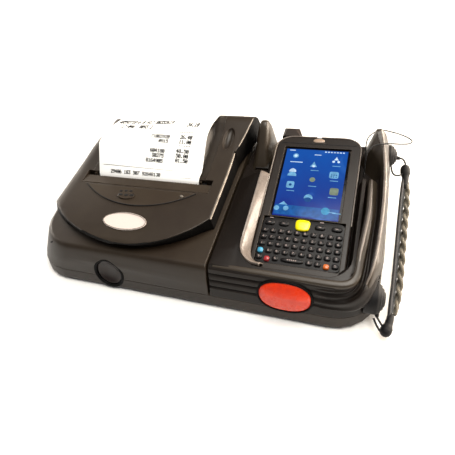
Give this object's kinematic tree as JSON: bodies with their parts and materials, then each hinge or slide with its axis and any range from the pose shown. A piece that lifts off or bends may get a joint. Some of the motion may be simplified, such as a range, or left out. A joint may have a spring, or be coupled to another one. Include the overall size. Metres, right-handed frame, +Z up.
{
  "type": "portable receipt printer",
  "caption": "Portable thermal receipt printer: low case with a hinged paper door and curling receipt on the left, and a cradle with a docked hand terminal, release button and side hand strap.",
  "frame": {"origin": "on the table under the middle of the case and strap together", "axes": "+X to the right along the case's longest side, from printer to cradle; +Y to the back; +Z up"},
  "size_m": [0.3378, 0.1796, 0.082],
  "materials": {
    "aluminium": "extruded aluminium",
    "base_plastic": "dark brown moulded plastic, satin",
    "battery_black": "black shrink-wrapped cell pack",
    "board_green": "green solder mask on glass fibre laminate",
    "brass": "turned brass",
    "button_orange": "orange-red glossy moulded plastic",
    "card_brown": "wound card tube",
    "ceramic": "glazed ceramic substrate",
    "cord_black": "black braided cord",
    "cradle_plastic": "near-black moulded plastic, satin",
    "gear_white": "natural moulded acetal",
    "key_black": "black moulded key mat",
    "key_blue": "light blue moulded key",
    "key_orange": "orange moulded key",
    "key_red": "dark red moulded key",
    "key_yellow": "yellow moulded key",
    "label_white": "off-white printed film on a plastic plate",
    "lamp_grey": "clear grey light pipe, unlit",
    "panel_plastic": "dark brown smooth moulded plastic",
    "paper_white": "white thermal paper",
    "printer_plastic": "dark warm brown moulded plastic with a fine spark-eroded grain",
    "rubber": "black silicone rubber",
    "screen_blue": "glossy display window with a blue picture",
    "soft_black": "black moulded plastic, soft satin",
    "steel": "zinc plated steel",
    "terminal_bezel": "dark brown-grey moulded plastic, satin",
    "terminal_plastic": "dark brown-grey moulded plastic",
    "webbing": "dark woven webbing with a laced pad"
  },
  "bodies": {
    "case": {"battery_cover": "base_plastic", "battery_pack": "battery_black", "cradle_housing": "cradle_plastic", "dock_connector": "gear_white", "door_hinge_pin": "steel", "feed_motor": "steel", "foot_front_left": "rubber", "foot_front_right": "rubber", "foot_rear_left": "rubber", "foot_rear_right": "rubber", "head_heat_sink": "aluminium", "head_spring_left": "steel", "head_spring_right": "steel", "idler_axle": "steel", "label_plate": "label_white", "lower_housing": "base_plastic", "main_board": "board_green", "mechanism_frame": "steel", "printer_housing": "printer_plastic", "release_spring": "steel", "roll_holder": "printer_plastic", "screw_front_left": "steel", "screw_front_right": "steel", "screw_rear_left": "steel", "screw_rear_right": "steel", "status_lamp": "lamp_grey", "status_panel": "panel_plastic", "strap_anchor_front": "soft_black", "strap_anchor_rear": "soft_black", "tear_bar": "panel_plastic", "tether_cord": "cord_black", "thermal_head": "ceramic", "top_cover": "printer_plastic"},
    "supply_roll": {"paper_roll": "paper_white", "roll_core": "card_brown"},
    "door": {"paper_door": "printer_plastic", "platen_bush_left": "brass", "platen_bush_right": "brass", "receipt": "paper_white"},
    "platen": {"platen_roller": "rubber", "platen_shaft": "steel", "platen_gear": "gear_white"},
    "idler": {"idler_gear": "gear_white"},
    "pinion": {"motor_pinion": "brass"},
    "feed_key": {"feed_button": "panel_plastic"},
    "power_key": {"power_button": "soft_black"},
    "release_key": {"release_button": "button_orange"},
    "latch": {"release_latch": "gear_white"},
    "terminal": {"terminal_case": "terminal_plastic", "terminal_bezel": "terminal_bezel", "screen_window": "screen_blue", "key_mat": "key_black", "antenna_cap": "terminal_plastic"},
    "scan_key_body": {"scan_key": "key_yellow"},
    "blue_key_body": {"blue_key": "key_blue"},
    "red_key_body": {"red_key": "key_red"},
    "orange_key_body": {"orange_key": "key_orange"},
    "strap": {"hand_strap": "webbing", "strap_loop_front": "cord_black", "strap_loop_rear": "cord_black"}
  },
  "joints": [
    {"name": "roll_spin", "type": "hinge", "parent": "case", "child": "supply_roll", "pos_m": [-0.0659, 0.047, 0.0355], "axis": [1, 0, 0], "continuous": true},
    {"name": "door_hinge", "type": "hinge", "parent": "case", "child": "door", "pos_m": [-0.0659, 0.0825, 0.049], "axis": [-1, 0, 0], "range_deg": [0, 78]},
    {"name": "platen_spin", "type": "hinge", "parent": "door", "child": "platen", "pos_m": [-0.0659, 0.0045, 0.049], "axis": [1, 0, 0], "continuous": true},
    {"name": "idler_spin", "type": "hinge", "parent": "case", "child": "idler", "pos_m": [-0.0074, -0.002, 0.03329], "axis": [1, 0, 0], "continuous": true},
    {"name": "pinion_spin", "type": "hinge", "parent": "case", "child": "pinion", "pos_m": [-0.0074, 0.0105, 0.02575], "axis": [1, 0, 0], "continuous": true},
    {"name": "feed_press", "type": "slide", "parent": "case", "child": "feed_key", "axis": [0, 0, -1], "range_m": [0, 0.0004], "stiffness_N_per_m": 400, "springref_m": -0.001},
    {"name": "power_press", "type": "slide", "parent": "case", "child": "power_key", "axis": [0, 0.9524, -0.3048], "range_m": [0, 0.001], "stiffness_N_per_m": 400, "springref_m": -0.001},
    {"name": "release_press", "type": "slide", "parent": "case", "child": "release_key", "axis": [0, 0.9524, -0.3048], "range_m": [0, 0.0018], "stiffness_N_per_m": 600, "springref_m": -0.001, "deforming": ["release_spring"]},
    {"name": "latch_slide", "type": "slide", "parent": "case", "child": "latch", "axis": [-1, 0, 0], "range_m": [0, 0.0018]},
    {"name": "terminal_slide", "type": "slide", "parent": "case", "child": "terminal", "axis": [0, 0.9744, 0.225], "range_m": [0, 0.15]},
    {"name": "scan_press", "type": "slide", "parent": "terminal", "child": "scan_key_body", "axis": [0, 0.225, -0.9744], "range_m": [0, 0.0005], "stiffness_N_per_m": 400, "springref_m": -0.001},
    {"name": "blue_press", "type": "slide", "parent": "terminal", "child": "blue_key_body", "axis": [0, 0.225, -0.9744], "range_m": [0, 0.0005], "stiffness_N_per_m": 400, "springref_m": -0.001},
    {"name": "red_press", "type": "slide", "parent": "terminal", "child": "red_key_body", "axis": [0, 0.225, -0.9744], "range_m": [0, 0.0005], "stiffness_N_per_m": 400, "springref_m": -0.001},
    {"name": "orange_press", "type": "slide", "parent": "terminal", "child": "orange_key_body", "axis": [0, 0.225, -0.9744], "range_m": [0, 0.0005], "stiffness_N_per_m": 400, "springref_m": -0.001},
    {"name": "strap_swing", "type": "hinge", "parent": "case", "child": "strap", "pos_m": [0.1592, 0.0686, 0.0432], "axis": [-0.0507, -0.9747, -0.2175], "range_deg": [0, 40]}
  ],
  "couplings": [
    {"joint": "platen_spin", "follows": "roll_spin", "ratio": 4.2241},
    {"joint": "idler_spin", "follows": "roll_spin", "ratio": -3.1681},
    {"joint": "pinion_spin", "follows": "roll_spin", "ratio": 6.3362},
    {"joint": "latch_slide", "follows": "release_press", "ratio": 1}
  ]
}
